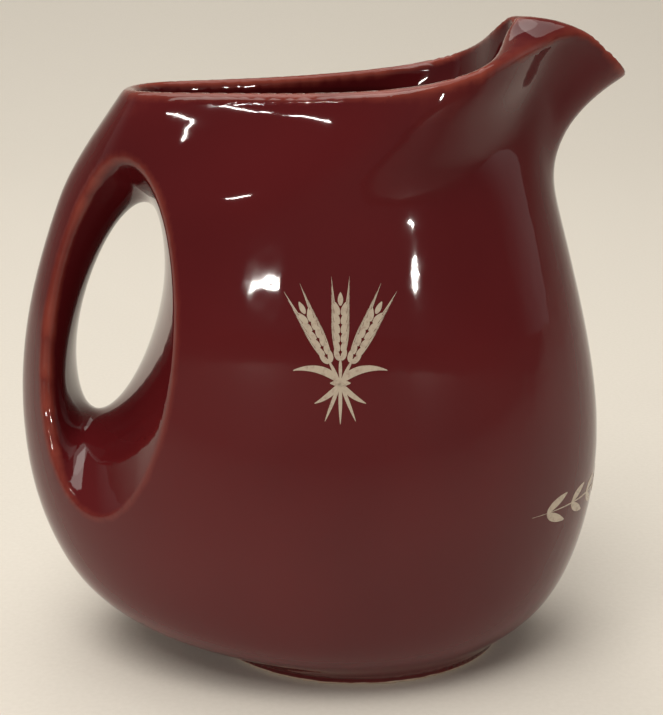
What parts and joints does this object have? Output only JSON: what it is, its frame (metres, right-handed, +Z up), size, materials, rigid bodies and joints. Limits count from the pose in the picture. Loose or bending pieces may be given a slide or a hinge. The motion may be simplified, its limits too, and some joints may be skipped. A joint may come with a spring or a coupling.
{
  "type": "water jug",
  "caption": "Glazed ceramic water jug with an egg-shaped body, a raised beak spout and a hand hole through its back that leaves a solid grip.",
  "frame": {"origin": "on the table, under the middle of the jug's length and width", "axes": "+X towards the beak, the grip is at -X, +Z up, and the jug's two sides are alike across the XZ plane"},
  "size_m": [0.1524, 0.0932, 0.1643],
  "materials": {
    "glaze": "glossy burgundy glaze"
  },
  "bodies": {
    "root": {"jug": "glaze"}
  },
  "joints": []
}
